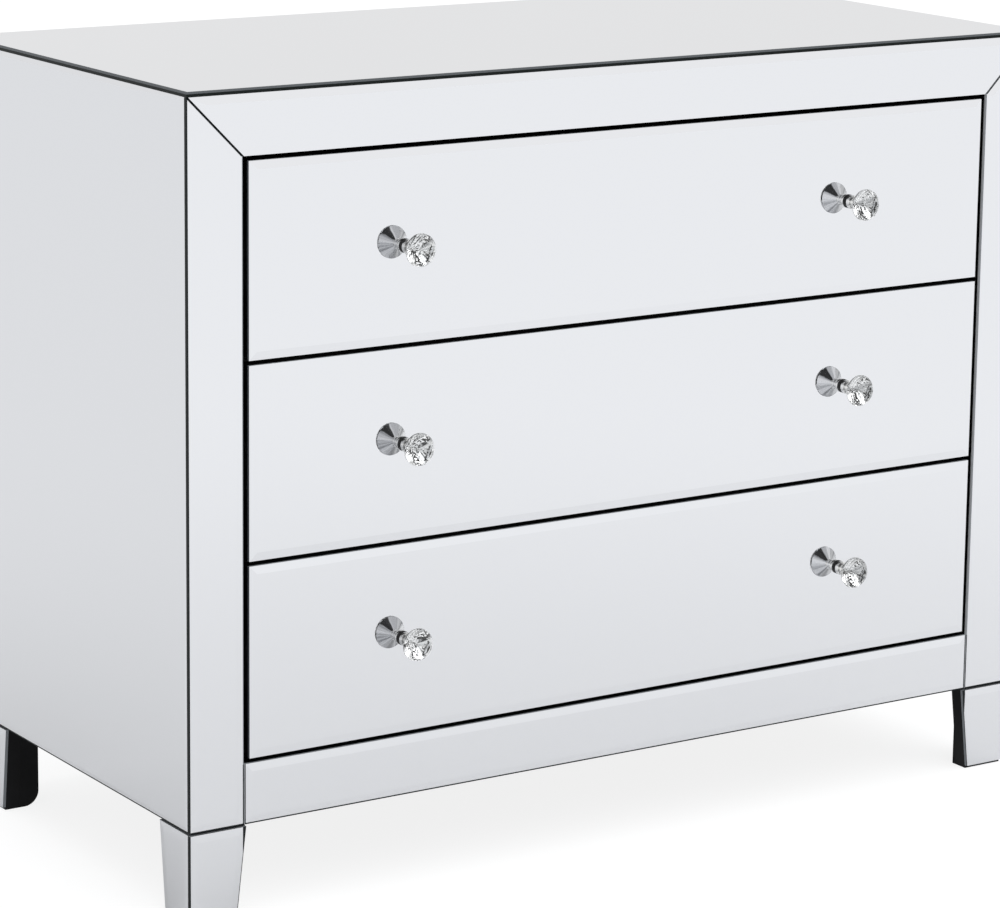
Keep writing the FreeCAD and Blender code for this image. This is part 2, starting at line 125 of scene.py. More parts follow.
# The slow wave that a plate keeps from the rollers it was toughened on.
ROLLER_WAVE = 90 * MM
ROLLER_WAVE_DEPTH = 0.02 * MM

# The tones of the ground edges, from the blackened ones outside to the pale ones at the gaps, with
# painted light and shade among them.
TOP_EDGE = "#090A0C"
TOP_CHAMFER = "#5B5E62"
OUTER_EDGE = "#0C0D0F"
# Painted shade: edges that face downwards are painted darker than those that face upwards.
DOWNWARD_EDGE_PAINTED_SHADE = "#141518"
GROUND_LINE = "#1A1B1F"
DRAWER_EDGE = "#5C6066"
JAMB_LINE = "#8E9298"
LEG_EDGE = "#979BA0"
# Painted light: edges that face upwards in the gaps are painted pale, as if lit.
UPWARD_EDGE_PAINTED_LIGHT = "#A6ABB0"
# Painted light: the stiles' inner edges are painted palest, for the light that a glass edge carries.
STILE_EDGE_PAINTED_LIGHT = "#DDE0E3"
# The grinding wheel's grit in the edges, in glass's own green. It is coarser than real grit, to show.
GLASS_GREEN = "#8FA29C"
EDGE_GRIT = 0.6 * MM
EDGE_SPARKLE = 0.06
EDGE_ROUGHNESS = 0.3

# How far a face's normal has to point along an axis for the face to be silvered, or to be an edge.
TOP_FACE = 0.99
TOP_CHAMFER_FACE = 0.3
FRONT_FACE = 0.5
SIDE_FACE = 0.8
EDGE_FACE = 0.5

# How far each ground line reaches to either side of its middle.
ARRIS = 0.8 * MM
JOINT = 2 * ARRIS
CORNER = 1.3 * MM
FOOT_LINE = 1.9 * MM
# Where the lines and edges lie, from the plates that they border.
HALF_GAP = 0.6 * MM
FOOT_LINE_DROP = 0.5 * MM
LEG_GAP = 1 * MM
OUTER_SKIN = 0.1 * MM
OUTER_EDGE_REACH = 6 * MM
LEG_FOOT_WIDTH = 51 * MM


def ground_lines(tree, out, y, z, front, beside, on_leg):
    """1 on the thin ground lines that border the plates at the chest's corners, mitres, rail ends,
    lower edges and legs, else 0."""
    mitre_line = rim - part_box("top_mirror")[0].z - HALF_GAP
    mitre_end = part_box("top_rail_mirror")[0].z
    foot_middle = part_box("stile_mirror_left")[0].z - FOOT_LINE_DROP
    lower_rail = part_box("bottom_rail_mirror")[1]
    leg_low, leg_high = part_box("leg_front_right")
    leg_taper = (rim - leg_low.x - LEG_FOOT_WIDTH) / leg_high.z
    corner = add(tree, "Math", {0: out, 1: rim - CORNER}, operation="GREATER_THAN")
    side_border = add(tree, "Math", {0: y, 1: board_plane, 2: CORNER}, operation="COMPARE")
    slant = add(tree, "Math", {0: out, 1: z}, operation="SUBTRACT")
    mitre = add(tree, "Math", {0: slant, 1: mitre_line, 2: JOINT}, operation="COMPARE")
    on_top_rail = add(tree, "Math", {0: z, 1: mitre_end}, operation="GREATER_THAN")
    foot_line = add(tree, "Math", {0: z, 1: foot_middle, 2: FOOT_LINE}, operation="COMPARE")
    rail_end = add(tree, "Math", {0: out, 1: lower_rail.x + HALF_GAP, 2: JOINT}, operation="COMPARE")
    low_down = add(tree, "Math", {0: z, 1: lower_rail.z}, operation="LESS_THAN")
    taper = add(tree, "Math", {0: z, 1: leg_taper, 2: out}, operation="MULTIPLY_ADD")
    leg_side = add(tree, "Math", {0: taper, 1: rim - LEG_FOOT_WIDTH + ARRIS}, operation="LESS_THAN")
    lines = 0.0
    for tests in (
        (corner, front), (side_border, beside), (mitre, on_top_rail, front), (foot_line,),
        (rail_end, low_down), (leg_side, on_leg, front),
    ):
        line = 1.0
        for test in tests:
            line = add(tree, "Math", {0: line, 1: test}, operation="MULTIPLY")
        lines = add(tree, "Math", {0: lines, 1: line}, operation="MAXIMUM")
    return lines


def upright_plate(tree, faces, spots):
    """Where the plates of the front, sides and legs are silvered, and the tones of their edges, with
    painted light on the upward and stile edges and painted shade on the downward ones.
    """
    y, z = spots.outputs["Y"], spots.outputs["Z"]
    leg_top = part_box("leg_mirrors_back")[1].z + LEG_GAP
    jamb_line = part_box("stile_mirror_right")[0].x
    jamb_gap = (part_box("drawer_mirror_upper")[1].x + jamb_line) / 2
    jamb_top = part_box("top_rail_mirror")[0].z
    out = add(tree, "Math", {0: spots.outputs["X"]}, operation="ABSOLUTE")
    front = add(tree, "Math", {0: y, 1: board_plane}, operation="LESS_THAN")
    beside = add(tree, "Math", {0: 1.0, 1: front}, operation="SUBTRACT")
    on_leg = add(tree, "Math", {0: z, 1: leg_top}, operation="LESS_THAN")
    on_stile = add(tree, "Math", {0: out, 1: jamb_gap}, operation="GREATER_THAN")
    outermost = add(tree, "Math", {0: out, 1: rim - OUTER_EDGE_REACH}, operation="GREATER_THAN")
    inward = add(tree, "Math", {0: out, 1: rim - OUTER_SKIN}, operation="LESS_THAN")
    leg_edge = add(tree, "Math", {0: on_leg, 1: inward}, operation="MULTIPLY")
    upward = add(tree, "Math", {0: faces.outputs["Z"], 1: EDGE_FACE}, operation="GREATER_THAN")
    downward = add(tree, "Math", {0: faces.outputs["Z"], 1: -EDGE_FACE}, operation="LESS_THAN")
    along = add(tree, "Math", {0: faces.outputs["Y"]}, operation="ABSOLUTE")
    along = add(tree, "Math", {0: along, 1: FRONT_FACE}, operation="GREATER_THAN")
    front_face = add(tree, "Math", {0: along, 1: front}, operation="MULTIPLY")
    across = add(tree, "Math", {0: faces.outputs["X"]}, operation="ABSOLUTE")
    across = add(tree, "Math", {0: across, 1: SIDE_FACE}, operation="GREATER_THAN")
    silver = add(tree, "Math", {0: across, 1: beside, 2: front_face}, operation="MULTIPLY_ADD")
    ground = ground_lines(tree, out, y, z, front, beside, on_leg)
    ground = add(tree, "Math", {0: ground, 1: silver}, operation="MULTIPLY")
    silver = add(tree, "Math", {0: silver, 1: ground}, operation="SUBTRACT")
    jamb = add(tree, "Math", {0: out, 1: jamb_line, 2: ARRIS}, operation="COMPARE")
    under_rail = add(tree, "Math", {0: z, 1: jamb_top}, operation="LESS_THAN")
    jamb = add(tree, "Math", {0: jamb, 1: under_rail}, operation="MULTIPLY")
    jamb = add(tree, "Math", {0: jamb, 1: silver}, operation="MULTIPLY")
    silver = add(tree, "Math", {0: silver, 1: jamb}, operation="SUBTRACT")
    edge = colour(DRAWER_EDGE)
    # The upward, downward and stile edge tones in this list are painted light and shade.
    for share, tone in (
        (on_stile, STILE_EDGE_PAINTED_LIGHT), (outermost, OUTER_EDGE), (upward, UPWARD_EDGE_PAINTED_LIGHT), (downward, DOWNWARD_EDGE_PAINTED_SHADE),
        (leg_edge, LEG_EDGE), (ground, GROUND_LINE), (jamb, JAMB_LINE),
    ):
        edge = add(tree, "Mix", {0: share, 6: edge, 7: colour(tone)}, data_type="RGBA")
    return silver, edge


def top_plate(tree, faces, spots):
    """Where the top's plate is silvered, and the tones of its chamfer and its blackened edge."""
    silver = add(tree, "Math", {0: faces.outputs["Z"], 1: TOP_FACE}, operation="GREATER_THAN")
    chamfer = add(tree, "Math", {0: faces.outputs["Z"], 1: TOP_CHAMFER_FACE}, operation="GREATER_THAN")
    edge = add(tree, "Mix", {0: chamfer, 6: colour(TOP_EDGE), 7: colour(TOP_CHAMFER)}, data_type="RGBA")
    return silver, edge


def silvered_glass(name, plate):
    """Float glass, silvered behind and ground at its edges: a clear cool mirror with a slow roller
    wave in it, and edges that look near black at the outside of the chest and grey in its gaps,
    with painted light on the upward and stile edges and painted shade on the downward ones."""
    material, tree, shader = finish_of(name, Specular_IOR_Level=SILVER_GLOSS)
    place = add(tree, "TexCoord")
    faces = add(tree, "SeparateXYZ", {0: place.outputs["Normal"]})
    spots = add(tree, "SeparateXYZ", {0: place.outputs["Object"]})
    silver, edge = plate(tree, faces, spots)
    grit = add(tree, "TexNoise", {"Vector": place.outputs["Object"], "Scale": 1 / EDGE_GRIT})
    sparkle = add(tree, "Math", {0: grit, 1: EDGE_SPARKLE}, operation="MULTIPLY")
    edge = add(tree, "Mix", {0: sparkle, 6: edge, 7: colour(GLASS_GREEN)}, data_type="RGBA")
    tint = add(tree, "Mix", {0: silver, 6: edge, 7: colour(SILVER)}, data_type="RGBA")
    polish = add(
        tree, "MapRange", {"Value": silver, "To Min": EDGE_ROUGHNESS, "To Max": SILVER_ROUGHNESS},
    )
    wave = add(
        tree, "TexNoise",
        {"Vector": place.outputs["Object"], "Scale": 1 / ROLLER_WAVE, "Detail": 1.0},
    )
    ripple = add(tree, "Bump", {"Strength": 1.0, "Distance": ROLLER_WAVE_DEPTH, "Height": wave})
    tree.links.new(tint.outputs[2], shader.inputs["Base Color"])
    tree.links.new(silver.outputs[0], shader.inputs["Metallic"])
    tree.links.new(polish.outputs[0], shader.inputs["Roughness"])
    tree.links.new(ripple.outputs[0], shader.inputs["Normal"])
    return material


# ---------------------------------------------------------------- boards and washers

LACQUER = ("#060607", "#18181B")
LACQUER_CLOUD = 35 * MM
LACQUER_ROUGHNESS = (0.26, 0.4)
LACQUER_GLOSS = 0.25
ORANGE_PEEL = 2.2 * MM
ORANGE_PEEL_DEPTH = 0.03 * MM


def black_lacquer():
    """Satin black lacquer sprayed on fibreboard: deep black with a fine orange peel in its sheen."""
    material, tree, shader = finish_of("black_satin_lacquer", Specular_IOR_Level=LACQUER_GLOSS)
    place = add(tree, "TexCoord").outputs["Object"]
    cloud = add(tree, "TexNoise", {"Vector": place, "Scale": 1 / LACQUER_CLOUD, "Detail": 3.0})
    deep, sheen = [colour(tone) for tone in LACQUER]
    tint = add(tree, "Mix", {0: cloud, 6: deep, 7: sheen}, data_type="RGBA")
    smoothest, dullest = LACQUER_ROUGHNESS
    gloss = add(tree, "MapRange", {"Value": cloud, "To Min": smoothest, "To Max": dullest})
    peel = add(tree, "TexNoise", {"Vector": place, "Scale": 1 / ORANGE_PEEL, "Detail": 2.0})
    relief = add(tree, "Bump", {"Strength": 0.5, "Distance": ORANGE_PEEL_DEPTH, "Height": peel})
    tree.links.new(tint.outputs[2], shader.inputs["Base Color"])
    tree.links.new(gloss.outputs[0], shader.inputs["Roughness"])
    tree.links.new(relief.outputs[0], shader.inputs["Normal"])
    return material


FOIL = ("#141416", "#232326")
FOIL_ROUGHNESS = 0.5
PORE_WIDTH = 1.4 * MM
PORES_ALONG = (1.0, 0.16, 1.0)
PORE_DEPTH = 0.08 * MM


def drawer_foil():
    """Matt black foil over fibreboard, embossed with short fine pores that run along the board."""
    material, tree, shader = finish_of("embossed_black_foil", Roughness=FOIL_ROUGHNESS)
    place = add(tree, "TexCoord").outputs["Object"]
    grain_line = add(tree, "Mapping", {"Vector": place, "Scale": PORES_ALONG})
    pores = add(
        tree, "TexNoise",
        {"Vector": grain_line, "Scale": 1 / PORE_WIDTH, "Detail": 4.0, "Roughness": 0.6},
    )
    deep, raised = [colour(tone) for tone in FOIL]
    tint = add(tree, "Mix", {0: pores, 6: deep, 7: raised}, data_type="RGBA")
    relief = add(tree, "Bump", {"Strength": 0.8, "Distance": PORE_DEPTH, "Height": pores})
    tree.links.new(tint.outputs[2], shader.inputs["Base Color"])
    tree.links.new(relief.outputs[0], shader.inputs["Normal"])
    return material


RUBBER = ("#070708", "#141415")
RUBBER_ROUGHNESS = 0.62
# Coarser than a mould's real grain, so that it shows.
MOULD_GRAIN = 0.5 * MM
MOULD_GRAIN_DEPTH = 0.04 * MM


def black_rubber():
    """Moulded black rubber, dull, with the fine grain of its mould."""
    material, tree, shader = finish_of("moulded_black_rubber", Roughness=RUBBER_ROUGHNESS)
    place = add(tree, "TexCoord").outputs["Object"]
    grain = add(tree, "TexNoise", {"Vector": place, "Scale": 1 / MOULD_GRAIN, "Detail": 2.0})
    deep, raised = [colour(tone) for tone in RUBBER]
    tint = add(tree, "Mix", {0: grain, 6: deep, 7: raised}, data_type="RGBA")
    relief = add(tree, "Bump", {"Strength": 0.5, "Distance": MOULD_GRAIN_DEPTH, "Height": grain})
    tree.links.new(tint.outputs[2], shader.inputs["Base Color"])
    tree.links.new(relief.outputs[0], shader.inputs["Normal"])
    return material


# ---------------------------------------------------------------- metals and crystal

ZINC_SHEET = "#B9BDC1"
ZINC_SCREW = "#C4C6C6"
ZINC_SPANGLE = "#D9DCDF"
SPANGLE = 3 * MM
# Hairlines are drawn a few times wider than real ones, so that they show.
SHEET_HAIRLINE = 0.5 * MM
SCREW_HAIRLINE = 0.3 * MM
HAIRLINES_ALONG = (1.0, 0.03, 1.0)
HAIRLINE_DEPTH = 0.02 * MM
ZINC_ROUGHNESS = (0.2, 0.42)


def zinc_plate(name, base, hairline):
    """Bright zinc on rolled steel: bluish grey, with a faint spangle and hairlines drawn along it."""
    material, tree, shader = finish_of(name, Metallic=1.0)
    place = add(tree, "TexCoord").outputs["Object"]
    drawn = add(tree, "Mapping", {"Vector": place, "Scale": HAIRLINES_ALONG})
    hairlines = add(tree, "TexNoise", {"Vector": drawn, "Scale": 1 / hairline, "Detail": 3.0})
    spangle = add(tree, "TexVoronoi", {"Vector": place, "Scale": 1 / SPANGLE}).outputs["Color"]
    tint = add(tree, "Mix", {0: spangle, 6: colour(base), 7: colour(ZINC_SPANGLE)}, data_type="RGBA")
    smoothest, dullest = ZINC_ROUGHNESS
    gloss = add(tree, "MapRange", {"Value": hairlines, "To Min": smoothest, "To Max": dullest})
    relief = add(tree, "Bump", {"Strength": 0.4, "Distance": HAIRLINE_DEPTH, "Height": hairlines})
    tree.links.new(tint.outputs[2], shader.inputs["Base Color"])
    tree.links.new(gloss.outputs[0], shader.inputs["Roughness"])
    tree.links.new(relief.outputs[0], shader.inputs["Normal"])
    return material


CHROME_ROUGHNESS = 0.04
# Painted reflection: dark and bright streaks, painted round each knob's axis into the chrome's colour.
PAINTED_REFLECTION_DARK = "#A2A3A4"
PAINTED_REFLECTION_BRIGHT = "#F1F1F0"
PAINTED_REFLECTIONS_AROUND = 2.6
PAINTED_REFLECTIONS_BEGIN = 0.35
PAINTED_REFLECTIONS_FULL = 0.62
# The wave texture sets its rings pi tenths of this apart, which is 0.75 mm: coarser than real, to show.
TURNING_RINGS = 2.4 * MM
TURNING_DEPTH = 0.01 * MM


def polished_chrome():
    """Chrome plate, polished to a bright cold mirror, with turning rings that barely show and broad
    radial streaks of painted reflection, dark and bright, from the neck to the rim."""
    material, tree, shader = finish_of("polished_chrome", Roughness=CHROME_ROUGHNESS, Metallic=1.0)
    place = add(tree, "TexCoord").outputs["Object"]
    spot = add(tree, "SeparateXYZ", {0: place})
    out = add(tree, "Math", {0: spot.outputs["X"]}, operation="ABSOLUTE")
    sideways = add(tree, "Math", {0: out, 1: knob_out}, operation="SUBTRACT")
    upwards = add(tree, "Math", {0: spot.outputs["Z"], 1: knob_height}, operation="SUBTRACT")
    half_pitch = drawer_pitch / 2
    upwards = add(tree, "Math", {0: upwards, 1: half_pitch, 2: -half_pitch}, operation="WRAP")
    around = add(tree, "CombineXYZ", {0: sideways, 2: upwards})
    around = add(tree, "VectorMath", {0: around}, operation="NORMALIZE")
    # Painted reflection: noise round the knob's axis sets where the colour is dark or bright.
    reflection_noise = add(tree, "TexNoise", {"Vector": around, "Scale": PAINTED_REFLECTIONS_AROUND, "Detail": 3.0})
    reflection_mix = add(
        tree, "MapRange", {"Value": reflection_noise, "From Min": PAINTED_REFLECTIONS_BEGIN, "From Max": PAINTED_REFLECTIONS_FULL},
    )
    dark, bright = colour(PAINTED_REFLECTION_DARK), colour(PAINTED_REFLECTION_BRIGHT)
    tint = add(tree, "Mix", {0: reflection_mix, 6: dark, 7: bright}, data_type="RGBA")
    rings = add(tree, "TexWave", {"Vector": place, "Scale": 1 / TURNING_RINGS}, bands_direction="Y")
    relief = add(
        tree, "Bump", {"Strength": 0.15, "Distance": TURNING_DEPTH, "Height": rings.outputs["Fac"]},
    )
    tree.links.new(tint.outputs[2], shader.inputs["Base Color"])
    tree.links.new(relief.outputs[0], shader.inputs["Normal"])
    return material


CRYSTAL = ("#FBFDFF", "#FFFFFF")
CRYSTAL_IOR = 1.56
CRYSTAL_CLOUD = 6 * MM


def cut_crystal():
    """Lead crystal, cut and polished: colourless, with crisp facets that split the room's light."""
    material, tree, shader = finish_of(
        "cut_crystal", Roughness=0.0, IOR=CRYSTAL_IOR, Transmission_Weight=1.0,
    )
    place = add(tree, "TexCoord").outputs["Object"]
    cloud = add(tree, "TexNoise", {"Vector": place, "Scale": 1 / CRYSTAL_CLOUD})
    cool, clear = [colour(tone) for tone in CRYSTAL]
    tint = add(tree, "Mix", {0: cloud, 6: cool, 7: clear}, data_type="RGBA")
    tree.links.new(tint.outputs[2], shader.inputs["Base Color"])
    return material


FINISHES = {
    "mirror_glass": silvered_glass("silvered_glass_upright", upright_plate),
    "lacquered_board": black_lacquer(),
    "drawer_board": drawer_foil(),
    "runner_steel": zinc_plate("drawn_zinc_plate", ZINC_SHEET, SHEET_HAIRLINE),
    "knob_chrome": polished_chrome(),
    "crystal": cut_crystal(),
    "screw_steel": zinc_plate("turned_zinc_plate", ZINC_SCREW, SCREW_HAIRLINE),
    "black_washer": black_rubber(),
}

for subpart in frame["record"]["subparts"]:
    node_object = cad[subpart["node"]]
    node_object.data.materials.clear()
    node_object.data.materials.append(FINISHES[subpart["material_slot"]])
cad["top_mirror"].data.materials[0] = silvered_glass("silvered_glass_top", top_plate)


# ---------------------------------------------------------------- ways to make a piece

ROUND_STEPS = 3
ROUND_ANGLE = math.radians(40)
WELD = 0.001 * MM
FLAT_ANGLE = math.radians(1)
# How far a face's normal has to point outwards for the face to be a pane's outer one.
PANE_FACE = 0.9


def finished(piece, body, slot, *stands_for):
    """Gives a finished piece its slot's material, the body that it rides on and the nodes it replaces."""
    piece.data.materials.clear()
    piece.data.materials.append(FINISHES[slot])
    if stands_for:
        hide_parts(*stands_for)
    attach(piece, body)
    return piece


def choose_only(*pieces):
    """Leaves only these pieces selected, the first one active."""
    bpy.ops.object.select_all(action="DESELECT")
    for piece in pieces:
        piece.select_set(True)
    bpy.context.view_layer.objects.active = pieces[0]


def turned(name, foot, towards, profile, sides):
    """Turns a closed piece about a line, ring after ring. Its profile gives each ring's distance
    from the foot and its radius, in millimetres."""
    rings = [(distance * MM, radius * MM) for distance, radius in profile]
    bpy.ops.object.select_all(action="DESELECT")
    distance, radius = rings[0]
    bpy.ops.mesh.primitive_circle_add(
        vertices=sides, radius=radius, fill_type="NGON",
        location=foot + distance * towards, rotation=towards.to_track_quat("Z", "Y").to_euler(),
    )
    piece = bpy.context.object
    piece.name = name
    bpy.ops.object.transform_apply(location=True, rotation=True, scale=True)
    bpy.ops.object.mode_set(mode="EDIT")
    bpy.ops.mesh.select_all(action="SELECT")
    for (start, old), (end, new) in zip(rings, rings[1:]):
        bpy.ops.mesh.extrude_region_move(TRANSFORM_OT_translate={"value": (end - start) * towards})
        bpy.ops.transform.resize(value=[new / old] * 3, center_override=foot + end * towards)
    bpy.ops.object.mode_set(mode="OBJECT")
    return piece


def bar(name, middle, size):
    """A squared blank, to be shaped or to cut with."""
    bpy.ops.object.select_all(action="DESELECT")
    bpy.ops.mesh.primitive_cube_add(size=1, location=middle, scale=size)
    blank = bpy.context.object
    blank.name = name
    bpy.ops.object.transform_apply(location=True, rotation=True, scale=True)
    return blank


def carved(piece, cutter):
    """Cuts one piece with another, which is used up."""
    choose_only(piece)
    bpy.ops.object.modifier_add(type="BOOLEAN")
    cut = piece.modifiers[-1]
    cut.operation = "DIFFERENCE"
    cut.solver = "EXACT"
    cut.object = cutter
    bpy.ops.object.modifier_apply(modifier=cut.name)
    bpy.data.objects.remove(cutter)


def eased(piece, width):
    """Rounds a piece's edges."""
    choose_only(piece)
    bpy.ops.object.modifier_add(type="BEVEL")
    round_over = piece.modifiers[-1]
    round_over.width = width
    round_over.segments = ROUND_STEPS
    round_over.limit_method = "ANGLE"
    round_over.angle_limit = ROUND_ANGLE
    bpy.ops.object.modifier_apply(modifier=round_over.name)
    bpy.ops.object.shade_smooth_by_angle(angle=ROUND_ANGLE)


def taken_from_frame(node, name):
    """A copy of a node's mesh as one closed shell, to be worked on."""
    piece = bpy.data.objects.new(name, cad[node].data.copy())
    bpy.context.scene.collection.objects.link(piece)
    choose_only(piece)
    bpy.ops.object.mode_set(mode="EDIT")
    bpy.ops.mesh.select_all(action="SELECT")
    bpy.ops.mesh.remove_doubles(threshold=WELD)
    bpy.ops.mesh.dissolve_limited(angle_limit=FLAT_ANGLE)
    bpy.ops.object.mode_set(mode="OBJECT")
    return piece


def softened(node, name, body, slot, width):
    """A board or folded steel piece of the frame with its edges rounded, in place of its node."""
    piece = taken_from_frame(node, name)
    eased(piece, width)
    return finished(piece, body, slot, node)


def bevelled_pane(node, name, outward, width, drop):
    """A flat pane of the frame with a shallow polished bevel round its outer face."""
    pane = taken_from_frame(node, name)
    bpy.ops.object.mode_set(mode="EDIT")
    bpy.ops.mesh.select_mode(type="FACE")
    bpy.ops.mesh.select_all(action="DESELECT")
    bpy.ops.object.mode_set(mode="OBJECT")
    for face in pane.data.polygons:
        face.select = face.normal.x * outward > PANE_FACE
    bpy.ops.object.mode_set(mode="EDIT")
    bpy.ops.transform.translate(value=(-outward * drop, 0, 0))
    bpy.ops.mesh.inset(thickness=width)
    bpy.ops.transform.translate(value=(outward * drop, 0, 0))
    bpy.ops.mesh.select_mode(type="VERT")
    bpy.ops.object.mode_set(mode="OBJECT")
    return finished(pane, "carcass", "mirror_glass", node)


def copied(piece, name, shift):
    """A copy with a mesh of its own, moved by its points."""
    choose_only(piece)
    bpy.ops.object.duplicate(linked=False)
    copy = bpy.context.object
    copy.name = name
    copy.location = shift
    bpy.ops.object.transform_apply(location=True, rotation=False, scale=False)
    return copy


def spread(name, piece, spots):
    """Copies a piece that is modelled at the first spot to the other spots, as one object."""
    copies = [copied(piece, name, spot - spots[0]) for spot in spots[1:]]
    choose_only(piece, *copies)
    bpy.ops.object.join()
    piece.name = name
    return piece


def on_each_drawer(master, slot, node, replaces=True):
    """Copies what is modelled on the upper drawer to each drawer, in place of the drawer's node or
    at that node's height."""
    for drawer in DRAWERS:
        own_node = f"{node}_{drawer}"
        drop = Vector((0, 0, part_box(own_node)[0].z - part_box(node + "_upper")[0].z))
        piece = copied(master, f"{master.name}_{drawer}", drop)
        finished(piece, "drawer_" + drawer, slot, *([own_node] if replaces else []))
    bpy.data.objects.remove(master)


# ---------------------------------------------------------------- screws

SCREW_SIDES = 32
SCREW_SMOOTHING = math.radians(35)
# A recess's length and width, as shares of the head's radius, and its depth.
RECESS_LENGTH = 1.05
RECESS_WIDTH = 0.24
RECESS_DEPTH = 1.3 * MM
SCREW_REACH = (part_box("drawer_front_upper")[1].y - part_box("knob_screws_upper")[0].y) / MM
# Distance from the seat and radius, in millimetres, of each ring of a screw or of its sink.
KNOB_SCREW = (
    (-SCREW_REACH, 1.1), (1 - SCREW_REACH, 2.0), (0, 2.0), (0, 4.0), (1.1, 3.96), (1.8, 3.5),
    (2.3, 2.7), (2.6, 1.6),
)
RUNNER_SCREW = ((0, 3.6), (0.7, 3.56), (1.3, 3.1), (1.6, 2.4), (1.8, 1.4))
PANEL_SCREW = ((-2.0, 1.5), (-0.2, 3.3), (-0.05, 3.3), (0, 3.2))
PANEL_SINK = ((-2.1, 1.6), (-0.2, 3.5), (0.4, 3.5))


def cross_screw(seat, towards, profile):
    """A screw turned to its profile, with a cross recess cut into the end of it."""
    piece = turned("screw", seat, towards, profile, SCREW_SIDES)
    crown = profile[-1][0] * MM
    head = max(radius for distance, radius in profile) * MM
    axes = [Vector(axis) for axis in ((1, 0, 0), (0, 1, 0), (0, 0, 1))]
    across = [axis for axis in axes if not axis.dot(towards)]
    depth = Vector([abs(part) for part in towards]) * 2 * RECESS_DEPTH
    for long_way, short_way in (across, across[::-1]):
        size = long_way * head * RECESS_LENGTH + short_way * head * RECESS_WIDTH + depth
        carved(piece, bar("recess", seat + towards * crown, size))
    choose_only(piece)
    bpy.ops.object.shade_smooth_by_angle(angle=SCREW_SMOOTHING)
    return piece


# ---------------------------------------------------------------- knobs

BASE_SIDES = 72
BASE_SMOOTHING = math.radians(28)
# Distance from the washer and radius, in millimetres, of the rings of a base's foot and cone. The
# cone goes out to the cup's rim and back inside to the cup's bottom.
BASE_FOOT = ((0, 6.4), (0.3, 6.9), (0.7, 7.0), (3.2, 7.0), (3.7, 6.8), (4.0, 6.4), (4.1, 4.4))
BASE_CONE = (
    (13.2, 4.3), (14.2, 4.5), (14.9, 5.3), (17.5, 8.9), (20.2, 12.5), (22.2, 15.2), (22.5, 15.7),
    (22.6, 15.9), (22.55, 16.0), (22.7, 15.6), (22.6, 14.7), (17.2, 7.4), (12.4, 1.0), (12.3, 0.3),
)
# Each bead swells out of the neck on an arc, also in millimetres.
BEAD_MIDDLES = (6.7, 10.7)
BEAD_HALF_LENGTH = 1.7
BEAD_CORE = 4.2
BEAD_SWELL = 1.6
BEAD_ARC = [math.radians(lean) for lean in (-78, -52, -26, 0, 26, 52, 78)]

# The crystal's blank, how high its table lies over its girdle, and the weld of its facets' corners.
BLANK_SIDES = 64
BLANK_RADIUS = 16 * MM
BLANK_LENGTH = 22 * MM
TABLE_HEIGHT = 9.2 * MM
CORNER_WELD = 0.01 * MM
# For each row of facets, radius and height over the cup's rim of two points of the profile that
# they pass through, in millimetres, how many they are, and the share of a facet by which they turn.
FACET_ROWS = (
    ((15.95, 1.5), (15.1, 4.0), 24, 0.5),
    ((15.3, 3.2), (13.4, 6.2), 24, 0.0),
    ((13.9, 5.4), (11.2, 8.1), 24, 0.5),
    ((11.8, 7.4), (8.6, 9.2), 12, 0.0),
    ((16.0, 1.2), (1.0, -10.0), 8, 0.0),
)


def knob_base(foot):
    """A turned chrome base: a foot, two beads on a neck, and a cone that opens to a cup."""
    beads = [
        (middle + BEAD_HALF_LENGTH * math.sin(lean), BEAD_CORE + BEAD_SWELL * math.cos(lean))
        for middle in BEAD_MIDDLES for lean in BEAD_ARC
    ]
    return turned("knob_base", foot, TOWARDS_VIEWER, [*BASE_FOOT, *beads, *BASE_CONE], BASE_SIDES)


def facet_row(girdle, outer, inner, count, turn):
    """Grinds one ring of flat facets through two points of the profile, (radius, height) pairs."""
    (outer_radius, outer_height), (inner_radius, inner_height) = outer, inner
    rise = inner_height - outer_height
    lean = Vector((abs(rise), math.copysign(outer_radius - inner_radius, rise))).normalized()
    for number in range(count):
        swing = 2 * math.pi * (number + turn) / count
        outward = Vector((math.cos(swing), 0, math.sin(swing)))
        normal = lean.x * outward + lean.y * TOWARDS_VIEWER
        on_facet = girdle + (outer_radius * outward + outer_height * TOWARDS_VIEWER) * MM
        bpy.ops.mesh.select_all(action="SELECT")
        bpy.ops.mesh.bisect(plane_co=on_facet, plane_no=normal, use_fill=True, clear_outer=True)


def crystal(girdle):
    """A round stone ground from a blank: rows of facets over and under a thin girdle, and a table."""
    bpy.ops.object.select_all(action="DESELECT")
    bpy.ops.mesh.primitive_cylinder_add(
        vertices=BLANK_SIDES, radius=BLANK_RADIUS, depth=BLANK_LENGTH, location=girdle,
        rotation=(math.pi / 2, 0, 0),
    )
    piece = bpy.context.object
    bpy.ops.object.transform_apply(location=True, rotation=True, scale=True)
    bpy.ops.object.mode_set(mode="EDIT")
    bpy.ops.mesh.select_all(action="SELECT")
    table = girdle + TABLE_HEIGHT * TOWARDS_VIEWER
    bpy.ops.mesh.bisect(plane_co=table, plane_no=TOWARDS_VIEWER, use_fill=True, clear_outer=True)
    for outer, inner, count, turn in FACET_ROWS:
        facet_row(girdle, outer, inner, count, turn)
    bpy.ops.mesh.select_all(action="SELECT")
    bpy.ops.mesh.remove_doubles(threshold=CORNER_WELD)
    bpy.ops.mesh.normals_make_consistent(inside=False)
    bpy.ops.object.mode_set(mode="OBJECT")
    return piece


# The left and right knobs' feet, and the way from a foot to its cup's rim and to the board's back.
knob_feet = [Vector((spot, washer_low.y, knob_height)) for spot in (-knob_out, knob_out)]
cup_rim = Vector((0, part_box("knob_bases_upper")[0].y - washer_low.y, 0))
board_back = Vector((0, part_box("drawer_front_upper")[1].y - washer_low.y, 0))

